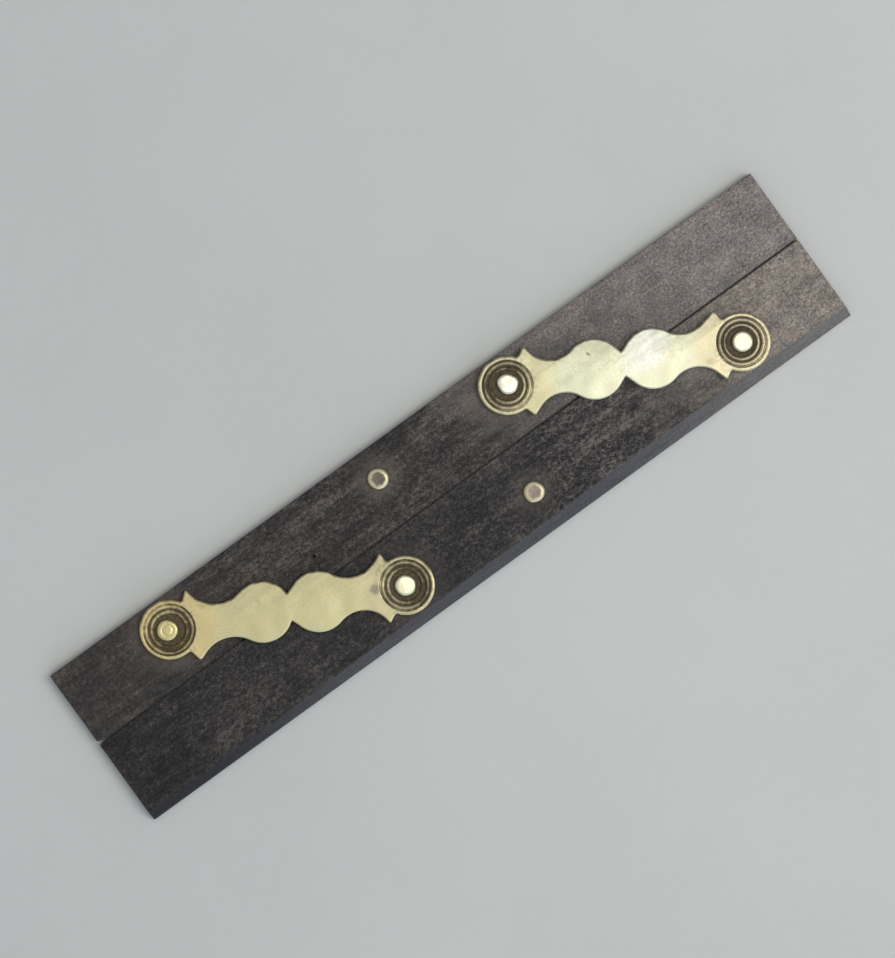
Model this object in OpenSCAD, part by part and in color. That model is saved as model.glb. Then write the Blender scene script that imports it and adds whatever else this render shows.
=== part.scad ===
// Parallel rule: two flat wooden limbs joined by two shaped metal arms.
// X runs along the limbs, Y across them, Z up out of the drawing surface.
// The origin is the middle of the closed rule, on the surface it lies on.

/* [Limbs] */
// Length of both limbs
rule_len = 152.4; // [146:0.1:170]
// Width of the upper limb, seam edge to ruling edge
upper_w = 14.6; // [14.2:0.1:18]
// Width of the lower limb, seam edge to bevelled ruling edge
lower_w = 16.5; // [16:0.1:20]
// Thickness of both limbs
limb_t = 2.4; // [2.2:0.1:3.6]
// Space between the limbs when the rule is closed
seam_gap = 0.3; // [0.1:0.05:0.8]
// Width of the bevel along the lower ruling edge
bevel_w = 2.1; // [1:0.1:3]
// Height of the upright land left under the bevel
bevel_land = 1.0; // [0.6:0.1:1.4]
// Small chamfer worn on every other long or end edge
arris = 0.2; // [0.05:0.05:0.3]

/* [Linkage] */
// Distance between the two pivots on one limb
pivot_span = 73.4; // [60:0.2:78]
// How far an arm's lower pivot lies to the right of its upper pivot, closed
arm_run = 38.2; // [38:0.1:42]
// Distance of each pivot line from the middle of the seam
pivot_inset = 9.0; // [8.6:0.1:9.4]
// Sideways offset of the whole linkage from the middle of the limbs
link_shift = 1.4; // [-2:0.1:3]

/* [Arms] */
// Thickness of an arm
arm_t = 1.4; // [1.2:0.05:2]
// Running space between an arm and the limbs under it
arm_lift = 0.08; // [0.05:0.01:0.2]
// Outer radius of the turned round end
ring_r = 5.25; // [5.1:0.05:5.4]
// Radius of each of the two lobes in the middle
lobe_r = 5.4; // [5.2:0.05:5.6]
// Distance of a lobe's centre from the middle of the arm
lobe_at = 5.1; // [4.9:0.05:5.2]
// Half width of the waist between lobe and round end
waist_half = 3.0; // [2.8:0.05:3.2]
// Distance of the waist from the middle of the arm
waist_at = 11.8; // [11.6:0.05:12]
// Slope of the outer side of each ear, degrees from the arm's line
ear_angle = 50; // [46:1:52]
// Half width of the arm across the tips of its ears
ear_half = 6.2; // [6:0.05:6.3]
// Half width left at the notch between the lobes
notch_half = 2.35; // [2.1:0.05:2.6]

/* [Rivets] */
// Radius of the rivet shank in the pivot
shank_r = 1.0; // [0.8:0.05:1.2]
// Radial running space round the shank in an arm
pivot_play = 0.05; // [0.03:0.01:0.08]
// Radius of the rivet head
head_r = 1.85; // [1.6:0.05:1.9]
// Height of the rivet head's upright side
head_side = 0.5; // [0.3:0.05:0.6]
// Rise of the dome over that side
head_dome = 0.35; // [0.1:0.05:0.6]
// Radius of the washer let in flush under the limb
washer_r = 2.4; // [2:0.05:3]
// Thickness of that washer
washer_t = 0.6; // [0.5:0.05:0.8]

/* [Finger studs] */
// Distance of each stud along its pivot line from the nearer pivot
stud_from_pivot = 28.1; // [20:0.1:32]
// Radius of the stud's head
stud_r = 1.95; // [1.5:0.05:2.5]
// Height of the stud above the limb
stud_h = 0.9; // [0.7:0.05:2]
// Radius of the rounded shoulder of the stud
stud_round = 0.6; // [0.3:0.05:0.65]
// Radius of the stud's stem in the wood
stem_r = 0.9; // [0.6:0.05:1.1]
// Depth of the stud's stem in the wood
stem_depth = 1.4; // [1.0:0.1:1.8]

/* [Hidden] */
$fn = 96;
rule_w = upper_w + seam_gap + lower_w;
// Y of the middle of the seam, with the closed rule centred on the origin
seam_y = rule_w / 2 - upper_w - seam_gap / 2;
upper_y = seam_y + pivot_inset;
lower_y = seam_y - pivot_inset;
upper_left_x = link_shift - (pivot_span + arm_run) / 2;
upper_right_x = upper_left_x + pivot_span;
lower_left_x = upper_left_x + arm_run;
lower_right_x = upper_right_x + arm_run;
arm_len = sqrt(arm_run * arm_run + 4 * pivot_inset * pivot_inset);
arm_angle = atan2(-2 * pivot_inset, arm_run);
arm_z = limb_t + arm_lift;

// Turned end: radii and levels of its lands and grooves, from the rim inwards.
// Levels are measured up from the underside of the arm.
rim_in = ring_r - 0.6;
groove_a = [rim_in - 0.28, arm_t - 0.38];
band_b = [rim_in - 0.82, arm_t - 0.12];
groove_b = [rim_in - 1.2, arm_t - 0.55];
band_c = [rim_in - 1.7, arm_t - 0.3];
dish_r = rim_in - 2.05;
dish_z = arm_t - 0.8;
ease = 0.12;

// The hollow arc of the waist is tangent to the lobe, so its radius follows.
waist_d = waist_at - lobe_at;
waist_r = (waist_d * waist_d + waist_half * waist_half - lobe_r * lobe_r)
          / (2 * (lobe_r - waist_half));
waist_c = [waist_at, waist_half + waist_r];
lobe_dist = lobe_r + waist_r;
// Where lobe and hollow arc meet
blend = [lobe_at + waist_d * lobe_r / lobe_dist, waist_c[1] * lobe_r / lobe_dist];
// Where the hollow arc runs out into the straight side of the ear
ear_foot = [waist_at + waist_r * sin(ear_angle), waist_c[1] - waist_r * cos(ear_angle)];
ear_tip = [ear_foot[0] + (ear_half - ear_foot[1]) / tan(ear_angle), ear_half];
ear_blunt = 0.35;
// Root of the ear beside the round end, measured back from the pivot
root_back = 2.8;
root_half = 4.8;
web_back = 1.9;

// Long bar with chamfered edges. section is its outline in Y and Z.
module bar(section, y0, y1) {
    intersection() {
        translate([-rule_len / 2, 0, 0])
            rotate([90, 0, 90])
                linear_extrude(height = rule_len) polygon(section);
        // the same bar seen from the side chamfers its two ends
        translate([0, y1 + 1, 0])
            rotate([90, 0, 0])
                linear_extrude(height = y1 - y0 + 2)
                    polygon([[-rule_len / 2 + arris, 0], [rule_len / 2 - arris, 0],
                             [rule_len / 2, arris], [rule_len / 2, limb_t - arris],
                             [rule_len / 2 - arris, limb_t], [-rule_len / 2 + arris, limb_t],
                             [-rule_len / 2, limb_t - arris], [-rule_len / 2, arris]]);
    }
}

// Hole for one rivet with its washer's seat in the underside
module pivot_hole(x, y) {
    translate([x, y, -1]) cylinder(r = shank_r, h = limb_t + 2);
    translate([x, y, -1]) cylinder(r = washer_r, h = 1 + washer_t);
}

module stem_hole(x, y) {
    translate([x, y, limb_t - stem_depth]) cylinder(r = stem_r, h = stem_depth + 1);
}

module upper_limb() color([0.20, 0.17, 0.15]) {
    y0 = seam_y + seam_gap / 2;
    y1 = y0 + upper_w;
    difference() {
        bar([[y0 + arris, 0], [y1 - arris, 0], [y1, arris], [y1, limb_t - arris],
             [y1 - arris, limb_t], [y0 + arris, limb_t], [y0, limb_t - arris], [y0, arris]], y0, y1);
        pivot_hole(upper_left_x, upper_y);
        pivot_hole(upper_right_x, upper_y);
        stem_hole(upper_right_x - stud_from_pivot, upper_y);
    }
}

module lower_limb() color([0.20, 0.17, 0.15]) {
    y1 = seam_y - seam_gap / 2;
    y0 = y1 - lower_w;
    difference() {
        bar([[y0 + arris, 0], [y1 - arris, 0], [y1, arris], [y1, limb_t - arris],
             [y1 - arris, limb_t], [y0 + bevel_w, limb_t], [y0, bevel_land], [y0, arris]], y0, y1);
        pivot_hole(lower_left_x, lower_y);
        pivot_hole(lower_right_x, lower_y);
        stem_hole(lower_left_x + stud_from_pivot, lower_y);
    }
}

// One half of an arm's plate, its middle at the origin and its pivot on +X
module half_plate() {
    p = arm_len / 2;
    web = sqrt(ring_r * ring_r - web_back * web_back) - 0.1;
    difference() {
        union() {
            translate([lobe_at, 0]) cylinder(r = lobe_r, h = arm_t);
            translate([p, 0]) cylinder(r = ring_r, h = arm_t);
            linear_extrude(height = arm_t)
                polygon([[0, notch_half], [lobe_at - lobe_r + 0.7, notch_half],
                         [lobe_at, blend[1]], [blend[0] - 0.3, blend[1]],
                         [ear_foot[0], ear_foot[1]], [ear_tip[0], ear_half],
                         [ear_tip[0] + ear_blunt, ear_half], [p - root_back, root_half],
                         [p - web_back, web], [p, 0], [p - web_back, -web],
                         [p - root_back, -root_half], [ear_tip[0] + ear_blunt, -ear_half],
                         [ear_tip[0], -ear_half], [ear_foot[0], -ear_foot[1]],
                         [blend[0] - 0.3, -blend[1]], [lobe_at, -blend[1]],
                         [lobe_at - lobe_r + 0.7, -notch_half], [0, -notch_half]]);
        }
        // a hair larger than tangent, so that the two arcs cross cleanly
        for (side = [1, -1])
            translate([waist_c[0], side * waist_c[1], -1])
                cylinder(r = waist_r + 0.02, h = arm_t + 2);
    }
}

// What the lathe takes out of the round end, as a half section
module turned_hollow() {
    rotate_extrude()
        polygon([[0, arm_t + 1], [0, dish_z], [dish_r - 0.35, dish_z],
                 [dish_r, band_c[1] - 0.1], [band_c[0] - 0.02 + ease, band_c[1]],
                 [groove_b[0] - ease, band_c[1]], [groove_b[0], groove_b[1]],
                 [groove_b[0] + 0.2, groove_b[1]], [band_b[0], band_b[1] - ease],
                 [band_b[0] + ease, band_b[1]], [groove_a[0] - ease, band_b[1]],
                 [groove_a[0], groove_a[1]], [rim_in - ease, groove_a[1]],
                 [rim_in, arm_t - ease], [rim_in + ease / 2, arm_t], [rim_in + ease / 2, arm_t + 1]]);
}

// An arm with its two pivots at (x, y) and arm_run further along
module arm(x, y) {
    color([0.76, 0.70, 0.52])
        translate([x, y, arm_z]) rotate([0, 0, arm_angle]) translate([arm_len / 2, 0, 0])
            difference() {
                union() {
                    half_plate();
                    rotate([0, 0, 180]) half_plate();
                    translate([-0.4, -notch_half, 0]) cube([0.8, 2 * notch_half, arm_t]);
                }
                for (end = [-1, 1]) translate([end * arm_len / 2, 0, 0]) {
                    turned_hollow();
                    translate([0, 0, -1]) cylinder(r = shank_r + pivot_play, h = arm_t + 2);
                }
            }
}

module left_arm() arm(upper_left_x, upper_y);
module right_arm() arm(upper_right_x, upper_y);

// Domed rivet: head in the arm's dish, shank through both, tail spread in the washer
module rivet(x, y) {
    seat = arm_z + dish_z + arm_lift;
    cap_r = (head_r * head_r + head_dome * head_dome) / (2 * head_dome);
    color([0.82, 0.76, 0.55]) translate([x, y, 0]) {
        translate([0, 0, seat]) rotate_extrude() intersection() {
            translate([0, head_side + head_dome - cap_r]) circle(r = cap_r, $fn = 360);
            square([head_r, head_side + head_dome]);
        }
        cylinder(r = shank_r, h = seat + 0.1);
        rotate_extrude() polygon([[0, 0], [shank_r + 0.3, 0], [shank_r, 0.3], [0, 0.3]]);
    }
}

module rivet_upper_left() rivet(upper_left_x, upper_y);
module rivet_upper_right() rivet(upper_right_x, upper_y);
module rivet_lower_left() rivet(lower_left_x, lower_y);
module rivet_lower_right() rivet(lower_right_x, lower_y);

// Flush washer that the rivet's tail is spread into
module washer(x, y) {
    color([0.72, 0.66, 0.45]) translate([x, y, 0])
        rotate_extrude() polygon([[shank_r + 0.3, 0], [washer_r, 0], [washer_r, washer_t],
                                  [shank_r, washer_t], [shank_r, 0.3]]);
}

module washer_upper_left() washer(upper_left_x, upper_y);
module washer_upper_right() washer(upper_right_x, upper_y);
module washer_lower_left() washer(lower_left_x, lower_y);
module washer_lower_right() washer(lower_right_x, lower_y);

// Low round stud with a flat top and a rounded shoulder
module stud(x, y) {
    color([0.70, 0.66, 0.52]) translate([x, y, limb_t]) {
        rotate_extrude() {
            square([stud_r - stud_round, stud_h]);
            square([stud_r, stud_h - stud_round]);
            intersection() {
                translate([stud_r - stud_round, stud_h - stud_round]) circle(r = stud_round);
                translate([0, 0]) square([stud_r + 1, stud_h + 1]);
            }
        }
        translate([0, 0, -stem_depth]) cylinder(r = stem_r, h = stem_depth + 0.1);
    }
}

module stud_upper() stud(upper_right_x - stud_from_pivot, upper_y);
module stud_lower() stud(lower_left_x + stud_from_pivot, lower_y);

upper_limb();
lower_limb();
left_arm();
right_arm();
rivet_upper_left();
rivet_upper_right();
rivet_lower_left();
rivet_lower_right();
washer_upper_left();
washer_upper_right();
washer_lower_left();
washer_lower_right();
stud_upper();
stud_lower();
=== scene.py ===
import math

import bpy
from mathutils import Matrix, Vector, noise
from mathutils.geometry import tessellate_polygon


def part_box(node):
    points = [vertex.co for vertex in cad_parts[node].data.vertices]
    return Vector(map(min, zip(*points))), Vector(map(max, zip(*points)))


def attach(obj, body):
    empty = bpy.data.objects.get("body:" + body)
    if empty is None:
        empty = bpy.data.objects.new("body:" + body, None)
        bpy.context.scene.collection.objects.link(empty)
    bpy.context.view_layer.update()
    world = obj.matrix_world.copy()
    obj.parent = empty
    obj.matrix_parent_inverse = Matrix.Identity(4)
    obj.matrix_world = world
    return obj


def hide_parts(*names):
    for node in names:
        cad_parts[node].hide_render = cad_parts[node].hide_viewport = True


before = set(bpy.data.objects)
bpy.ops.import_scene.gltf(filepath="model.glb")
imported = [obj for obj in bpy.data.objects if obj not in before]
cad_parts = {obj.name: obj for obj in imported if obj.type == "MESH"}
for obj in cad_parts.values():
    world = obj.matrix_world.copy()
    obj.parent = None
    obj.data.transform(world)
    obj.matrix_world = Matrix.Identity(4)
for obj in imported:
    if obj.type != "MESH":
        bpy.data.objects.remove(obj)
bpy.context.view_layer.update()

# Lengths below are in millimetres in the row's frame. Meshes are scaled to metres when made.
MM = 0.001


def centre(node):
    lo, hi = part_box(node)
    return (Vector(lo) + Vector(hi)) / 2 / MM


def top(node):
    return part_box(node)[1][2] / MM


def low(node):
    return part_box(node)[0][2] / MM


def smooth01(e0, e1, v):
    u = min(1.0, max(0.0, (v - e0) / (e1 - e0)))
    return u * u * (3 - 2 * u)


def nz(x, y=0.0, z=0.0):
    return noise.noise(Vector((x, y, z)))


def make(name, verts, faces, smooth=True):
    me = bpy.data.meshes.new(name)
    me.from_pydata([Vector(v) * MM for v in verts], [], faces)
    me.validate()
    me.update()
    if smooth:
        me.polygons.foreach_set("use_smooth", [True] * len(me.polygons))
    ob = bpy.data.objects.new(name, me)
    bpy.context.scene.collection.objects.link(ob)
    return ob


def weighted(ob):
    m = ob.modifiers.new("weighted", "WEIGHTED_NORMAL")
    m.mode = "FACE_AREA"
    m.weight = 50
    m.keep_sharp = True


def attribute(ob, name, fn):
    """A number at each vertex, worked out from its place in millimetres."""
    me = ob.data
    at = me.attributes.new(name, "FLOAT", "POINT")
    for i, v in enumerate(me.vertices):
        at.data[i].value = fn(v.co / MM)


def lathe(profile, n, at, wobble=None):
    """Closed surface of revolution about the vertical through at. profile runs from the axis to the
    axis, as (radius, height); wobble(radius, height, angle) gives a shifted (radius, height)."""
    verts, faces, rings = [], [], []
    for r, z in profile:
        if r < 1e-6:
            zz = wobble(0, z, 0)[1] if wobble else z
            rings.append([len(verts)])
            verts.append((at[0], at[1], zz))
            continue
        ring = []
        for i in range(n):
            t = 2 * math.pi * i / n
            rr, zz = wobble(r, z, t) if wobble else (r, z)
            ring.append(len(verts))
            verts.append((at[0] + rr * math.cos(t), at[1] + rr * math.sin(t), zz))
        rings.append(ring)
    for a, b in zip(rings, rings[1:]):
        for i in range(n):
            j = (i + 1) % n
            if len(a) == 1 and len(b) == 1:
                continue
            if len(a) == 1:
                faces.append((a[0], b[j], b[i]))
            elif len(b) == 1:
                faces.append((a[i], a[j], b[0]))
            else:
                faces.append((a[i], a[j], b[j], b[i]))
    return verts, faces


def fix_normals(ob):
    import bmesh

    bm = bmesh.new()
    bm.from_mesh(ob.data)
    bmesh.ops.recalc_face_normals(bm, faces=bm.faces)
    bm.to_mesh(ob.data)
    bm.free()
    ob.data.update()


def near_disc(pts, at, r):
    """True if the convex outline pts comes within r of at."""
    sides = []
    for (ax, ay), (bx, by) in zip(pts, pts[1:] + pts[:1]):
        dx, dy = bx - ax, by - ay
        sides.append(dx * (at[1] - ay) - dy * (at[0] - ax) > 0)
        f = max(0.0, min(1.0, ((at[0] - ax) * dx + (at[1] - ay) * dy) / max(1e-12, dx * dx + dy * dy)))
        if math.hypot(ax + dx * f - at[0], ay + dy * f - at[1]) < r:
            return True
    return all(sides) or not any(sides)


def open_disc(verts, faces, chosen, at, r, ring):
    """Takes the chosen faces that touch the disc out of faces and joins what is left to the ring of vertex numbers."""
    hit = [f for f in faces if chosen(f) and near_disc([(verts[i][0], verts[i][1]) for i in f], at, r + 0.08)]
    gone = set(hit)
    rest = [f for f in faces if f not in gone]
    edges = set()
    for f in hit:
        for a, b in zip(f, f[1:] + f[:1]):
            if (b, a) in edges:
                edges.remove((b, a))
            else:
                edges.add((a, b))
    follow = dict(edges)
    first = min(follow)
    outer, at_now = [first], follow[first]
    while at_now != first:
        outer.append(at_now)
        at_now = follow[at_now]
    flat = outer + ring
    for tri in tessellate_polygon([[Vector((verts[i][0], verts[i][1], 0)) for i in lst] for lst in (outer, ring)]):
        rest.append(tuple(flat[k] for k in tri))
    return rest


# ---------------------------------------------------------------- places taken from the frame
HALF_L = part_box("upper_limb")[1][0] / MM
UP_Y0, UP_Y1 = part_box("upper_limb")[0][1] / MM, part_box("upper_limb")[1][1] / MM
LO_Y0, LO_Y1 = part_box("lower_limb")[0][1] / MM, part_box("lower_limb")[1][1] / MM
SEAM_Y = (UP_Y0 + LO_Y1) / 2
LIMB_T = top("upper_limb")
ARM_Z = low("left_arm")
ARM_T = top("left_arm") - ARM_Z
LAND = 1.0  # upright land under the bevel
STEM = LIMB_T - low("stud_upper")  # depth of a stud's stem in the wood
PIVOT = {k: centre("rivet_" + k) for k in ("upper_left", "upper_right", "lower_left", "lower_right")}
STUD = {k: centre("stud_" + k) for k in ("upper", "lower")}


# ---------------------------------------------------------------- limbs
def rounded_section(corners, spans, steps=4):
    """corners: (y, z, radius), counter-clockwise. spans: fractions along each straight side.
    Gives (y, z, outward y, outward z) round the section."""
    out, n = [], len(corners)
    arcs = []
    for i in range(n):
        a, c, b = corners[i - 1], corners[i], corners[(i + 1) % n]
        d1 = Vector((c[0] - a[0], c[1] - a[1])).normalized()
        d2 = Vector((b[0] - c[0], b[1] - c[1])).normalized()
        turn = math.atan2(d1.x * d2.y - d1.y * d2.x, d1.dot(d2))
        t = c[2] * math.tan(turn / 2)
        start = Vector((c[0], c[1])) - d1 * t
        n1 = Vector((d1.y, -d1.x))
        mid = start - n1 * c[2]
        a0 = math.atan2(n1.y, n1.x)
        pts = []
        for k in range(steps + 1):
            th = a0 + turn * k / steps
            e = Vector((math.cos(th), math.sin(th)))
            p = mid + e * c[2]
            pts.append((p.x, p.y, e.x, e.y))
        arcs.append(pts)
    for i in range(n):
        out += arcs[i]
        p, q = arcs[i][-1], arcs[(i + 1) % n][0]
        for f in spans[i]:
            out.append((p[0] + (q[0] - p[0]) * f, p[1] + (q[1] - p[1]) * f, p[2], p[3]))
    return out


END_R = 0.16
WIDE = [0.015, 0.04, 0.09, 0.16, 0.24, 0.33, 0.42, 0.5, 0.58, 0.67, 0.76, 0.84, 0.91, 0.96, 0.985]
THIN = [0.2, 0.5, 0.8]


def stations():
    xs = []
    for k in range(5):
        th = math.radians(90 * k / 4)
        xs.append((-HALF_L + END_R * (1 - math.sin(math.pi / 2 - th)), END_R * (1 - math.cos(math.pi / 2 - th))))
    n = 176
    inner = HALF_L - END_R
    for k in range(1, n):
        xs.append((-inner + 2 * inner * k / n, 0.0))
    for k in range(5):
        th = math.radians(90 * k / 4)
        xs.append((inner + END_R * math.sin(th), END_R * (1 - math.cos(th))))
    return xs


def limb(name, section_at, seed, nicks, holes):
    """holes: (centre, number of sides, [(radius, height)...]) from the top face down. Height None means on the top
    face, and a last height of 0 goes right through."""
    xs = stations()
    verts, faces, n, facing = [], [], 0, []

    def sunk(x, y):
        return 0.010 + 0.012 * nz(x / 23, y / 8, seed) + 0.005 * nz(x / 6, y / 3, seed + 9)

    for x, inset in xs:
        sec = section_at(x)
        n = len(sec)
        for y, z, ny, nzv in sec:
            # how near a long arris: the normal slants there
            slant = min(abs(ny), abs(nzv)) / 0.7071
            quiet = 0.25 if abs(y) < 2.5 else 1.0  # the meeting edges stay straight
            wear = quiet * slant * (0.02 + 0.05 * max(0.0, nz(x * 0.21, seed + 3.1 * (ny > 0), z > LIMB_T / 2) + 0.15))
            for nx, nyy, nzz, wide, deep in nicks:
                d = abs(x - nx) / wide
                if d < 1 and abs(y - nyy) < 0.9 and abs(z - nzz) < 0.9:
                    wear += deep * (1 - d * d) ** 2 * max(0.0, slant)
            sink = 0.0
            if nzv > 0.9:
                sink = sunk(x, y)
            d = inset + wear
            verts.append((x, y - ny * d, z - nzv * d - sink))
            facing.append(nzv)
    m = len(xs)
    for k in range(m - 1):
        for i in range(n):
            j = (i + 1) % n
            a, b = k * n, (k + 1) * n
            faces.append((a + i, a + j, b + j, b + i))
    grid_end = len(verts)
    faces.append(tuple(range(n - 1, -1, -1)))
    faces.append(tuple((m - 1) * n + i for i in range(n)))

    def on_top(f):
        return all(i < grid_end and facing[i] > 0.9 for i in f)

    def on_bottom(f):
        return all(i < grid_end and facing[i] < -0.9 for i in f)

    walls = []
    for at, count, steps_down in holes:
        rows = []
        for r, z in steps_down:
            row = []
            for i in range(count):
                t = 2 * math.pi * (i + 0.37) / count
                x, y = at[0] + r * math.cos(t), at[1] + r * math.sin(t)
                row.append(len(verts))
                verts.append((x, y, LIMB_T - sunk(x, y) if z is None else z))
            rows.append(row)
        faces = open_disc(verts, faces, on_top, at, steps_down[0][0], rows[0])
        for ra, rb in zip(rows, rows[1:]):
            for i in range(count):
                j = (i + 1) % count
                walls.append((ra[i], ra[j], rb[j], rb[i]))
        if steps_down[-1][1] == 0:
            faces = open_disc(verts, faces, on_bottom, at, steps_down[-1][0], rows[-1])
        else:
            walls.append(tuple(rows[-1]))
    ob = make(name, verts, faces + walls)
    for poly in list(ob.data.polygons)[len(faces) :]:
        poly.use_smooth = False
    fix_normals(ob)
    return ob


# The limbs nearly touch when shut: each meeting face stands a little proud of its modelled plane.
PROUD = 0.02


def corner_round(x):
    """The meeting corners in plan: knocked off at the left end, pinched together at the right."""
    return 0.28 * (1 - smooth01(0.0, 1.5, x + HALF_L)) - 0.10 * (1 - smooth01(0.0, 2.0, HALF_L - x))


def curve_value(points, x):
    for (x0, v0), (x1, v1) in zip(points, points[1:]):
        if x <= x1:
            return v0 + (v1 - v0) * smooth01(x0, x1, x)
    return points[-1][1]


def upper_section(x):
    w = 0.05 * nz(x / 31.0, 7.7)
    y0 = UP_Y0 - PROUD + corner_round(x)
    # years of ruling have drawn this edge in a little towards the right
    y1 = UP_Y1 - curve_value([(-76.2, 0.08), (5, 0.10), (45, 0.28), (76.2, 0.40)], x)
    return rounded_section(
        [(y0, 0, 0.12), (y1, 0, 0.2), (y1, LIMB_T, 0.24 + w), (y0, LIMB_T, 0.12)],
        [WIDE, THIN, WIDE, THIN],
    )


def bevel_width(x):
    w = curve_value([(-76.2, 1.6), (-50, 1.75), (-20, 2.0), (5, 2.15), (30, 2.45), (52, 2.4), (76.2, 1.95)], x)
    return w + 0.06 * nz(x / 9.0, 2.2)


def lower_section(x):
    b = bevel_width(x)
    y1 = LO_Y1 + PROUD - 0.5 * corner_round(x)
    return rounded_section(
        [
            (LO_Y0, 0, 0.18),
            (y1, 0, 0.12),
            (y1, LIMB_T, 0.12),
            (LO_Y0 + b, LIMB_T, 0.5),
            (LO_Y0, LAND, 0.24),
        ],
        [WIDE, THIN, WIDE, [0.12, 0.3, 0.5, 0.7, 0.88], THIN],
    )


WASHER_R, WASHER_T, SHANK_R = 2.4, 0.6, 1.0


def pivot_hole(key):
    return (PIVOT[key], 72, [(SHANK_R + 0.02, None), (SHANK_R + 0.02, WASHER_T), (WASHER_R + 0.02, WASHER_T), (WASHER_R + 0.02, 0)])


def stem_hole(key):
    return (STUD[key], 48, [(0.92, None), (0.92, LIMB_T - STEM)])


upper = limb(
    "upper_limb_ebony",
    upper_section,
    4.0,
    [
        (-41.0, UP_Y1, LIMB_T, 0.9, 0.10),
        (5.5, UP_Y1, LIMB_T, 1.4, 0.09),
        (63.0, UP_Y1, LIMB_T, 0.8, 0.12),
        (75.6, UP_Y1, LIMB_T, 1.0, 0.10),
    ],
    [
        pivot_hole("upper_left"),
        pivot_hole("upper_right"),
        stem_hole("upper"),
        # an old prick mark
        ((-26.2, 5.5), 20, [(0.32, None), (0.24, LIMB_T - 0.14), (0.14, LIMB_T - 0.45)]),
    ],
)
lower = limb(
    "lower_limb_ebony",
    lower_section,
    17.0,
    [
        (-58.0, LO_Y0, LAND, 1.0, 0.10),
        (-9.0, LO_Y0, LAND, 1.5, 0.08),
        (33.0, LO_Y0, LAND, 0.9, 0.12),
        (71.0, LO_Y0, LAND, 1.2, 0.10),
    ],
    [pivot_hole("lower_left"), pivot_hole("lower_right"), stem_hole("lower")],
)


weighted(upper)
weighted(lower)


def edge_of(lines):
    """1 on the arrises, fading over about half a millimetre. lines are (y, z) of the long ones."""

    def fn(p):
        d = min(math.hypot(p.y - y, p.z - z) for y, z in lines)
        dx = HALF_L - abs(p.x)
        d = min(d, math.hypot(dx, min(abs(p.z), abs(LIMB_T - p.z))))
        return math.exp(-max(0.0, d - 0.12) / 0.35)

    return fn


attribute(upper, "edge", edge_of([(UP_Y0, LIMB_T), (UP_Y1, LIMB_T), (UP_Y0, 0), (UP_Y1, 0)]))


def on_bevel(p):
    """1 on the sloping face, 0 off it."""
    w = bevel_width(p.x)
    d = (p.z - LAND) * w - (p.y - LO_Y0) * (LIMB_T - LAND)
    d /= math.hypot(w, LIMB_T - LAND)
    return (1 - smooth01(0.05, 0.2, abs(d))) * smooth01(LAND - 0.2, LAND + 0.1, p.z) * (1 - smooth01(w - 0.2, w + 0.15, p.y - LO_Y0))


attribute(lower, "bevel", on_bevel)
attribute(lower, "edge", edge_of([(LO_Y0, LAND), (LO_Y1, LIMB_T), (LO_Y0 + 2.1, LIMB_T), (LO_Y0, 0), (LO_Y1, 0)]))


# ---------------------------------------------------------------- arms
RING_R, LOBE_R = 5.25, 5.4


def tangent_from(tip, c, r):
    """Where the line from tip touches the circle, on the side towards the middle of the arm."""
    d = Vector((c[0] - tip[0], c[1] - tip[1]))
    dist = d.length
    along = math.sqrt(dist * dist - r * r)
    base = math.atan2(d.y, d.x)
    off = math.asin(r / dist)
    a = base + off
    b = base - off
    pa = (tip[0] + along * math.cos(a), tip[1] + along * math.sin(a))
    pb = (tip[0] + along * math.cos(b), tip[1] + along * math.sin(b))
    return pa if pa[1] < pb[1] else pb


def quarter(half, mid, notch, bow, waist, tip, blunt, root):
    """One side of one end, from the notch to the far point of the ring, both coordinates positive.
    half is the pivot's distance from the arm's middle and mid the notch's shift towards this end.
    bow is the lobe's distance from the notch and the radius of the hollow beyond it."""
    lobe, r = mid + bow[0], bow[1]
    while True:
        cy = waist + r
        dx = math.sqrt((LOBE_R + r) ** 2 - cy * cy)
        wc = lobe + dx
        if math.hypot(tip[0] - wc, tip[1] - cy) > r + 0.03:  # the ear's tip must stay outside the hollow
            break
        r -= 0.05
    a0 = math.pi - math.acos(4.15 / LOBE_R)  # a straight flank runs from here down into the notch
    a1 = math.atan2(cy, dx)
    pts = [(mid, notch)]
    pts += [(lobe + LOBE_R * math.cos(a0 + (a1 - a0) * k / 60), LOBE_R * math.sin(a0 + (a1 - a0) * k / 60)) for k in range(61)]
    foot = tangent_from(tip, (wc, cy), r)
    b0 = math.atan2(-cy, -dx)
    b1 = math.atan2(foot[1] - cy, foot[0] - wc)
    pts += [(wc + r * math.cos(b0 + (b1 - b0) * k / 40), cy + r * math.sin(b0 + (b1 - b0) * k / 40)) for k in range(1, 41)]
    pts += [tip, (tip[0] + blunt, tip[1] - 0.05), root]
    c0 = math.atan2(root[1], root[0] - half) - 0.03
    pts += [(half + RING_R * math.cos(c0 * (1 - k / 60)), RING_R * math.sin(c0 * (1 - k / 60))) for k in range(61)]
    return pts


def corners(mid, notch, bow, waist, tip, blunt, root):
    return [(mid, notch), tip, (tip[0] + blunt, tip[1] - 0.05), root]


def resample(loop, step):
    """Closed loop at an even step."""
    segs = [((Vector(b) - Vector(a)).length, a, b) for a, b in zip(loop, loop[1:] + loop[:1])]
    total = sum(s[0] for s in segs)
    n = int(round(total / step))
    out, i, gone = [], 0, 0.0
    for k in range(n):
        want = total * k / n
        while gone + segs[i][0] < want:
            gone += segs[i][0]
            i += 1
        f = (want - gone) / segs[i][0]
        a, b = Vector(segs[i][1]), Vector(segs[i][2])
        out.append(a + (b - a) * f)
    return out


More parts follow.
